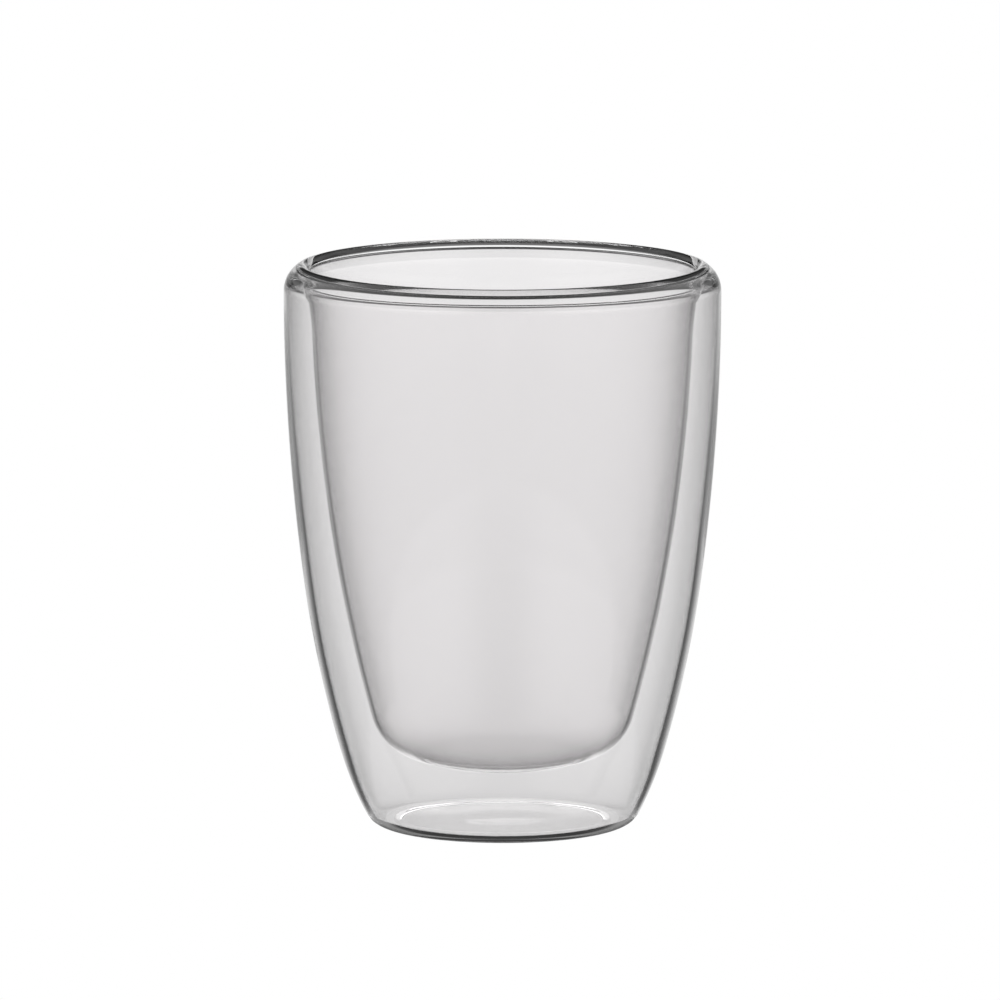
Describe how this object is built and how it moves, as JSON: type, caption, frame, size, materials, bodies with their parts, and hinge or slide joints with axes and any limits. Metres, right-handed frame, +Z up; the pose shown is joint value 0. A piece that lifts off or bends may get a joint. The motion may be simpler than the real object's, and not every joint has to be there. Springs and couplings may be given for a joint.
{
  "type": "double walled glass cup",
  "caption": "Tapered drinking glass with an inner and an outer blown wall fused at a rounded rim, a sealed air gap between them and a closed, slightly hollow base.",
  "frame": {"origin": "centre of the base, on the table", "axes": "+Z up along the axis of the cup; the cup is round, so +X and +Y are free"},
  "size_m": [0.085, 0.085, 0.11],
  "materials": {
    "blown_glass": "clear, fire polished",
    "melted_glass": "clear, flame worked"
  },
  "bodies": {
    "root": {"outer_vessel": "blown_glass", "inner_vessel": "blown_glass", "rim_weld": "melted_glass", "base_seal": "melted_glass"}
  },
  "joints": []
}
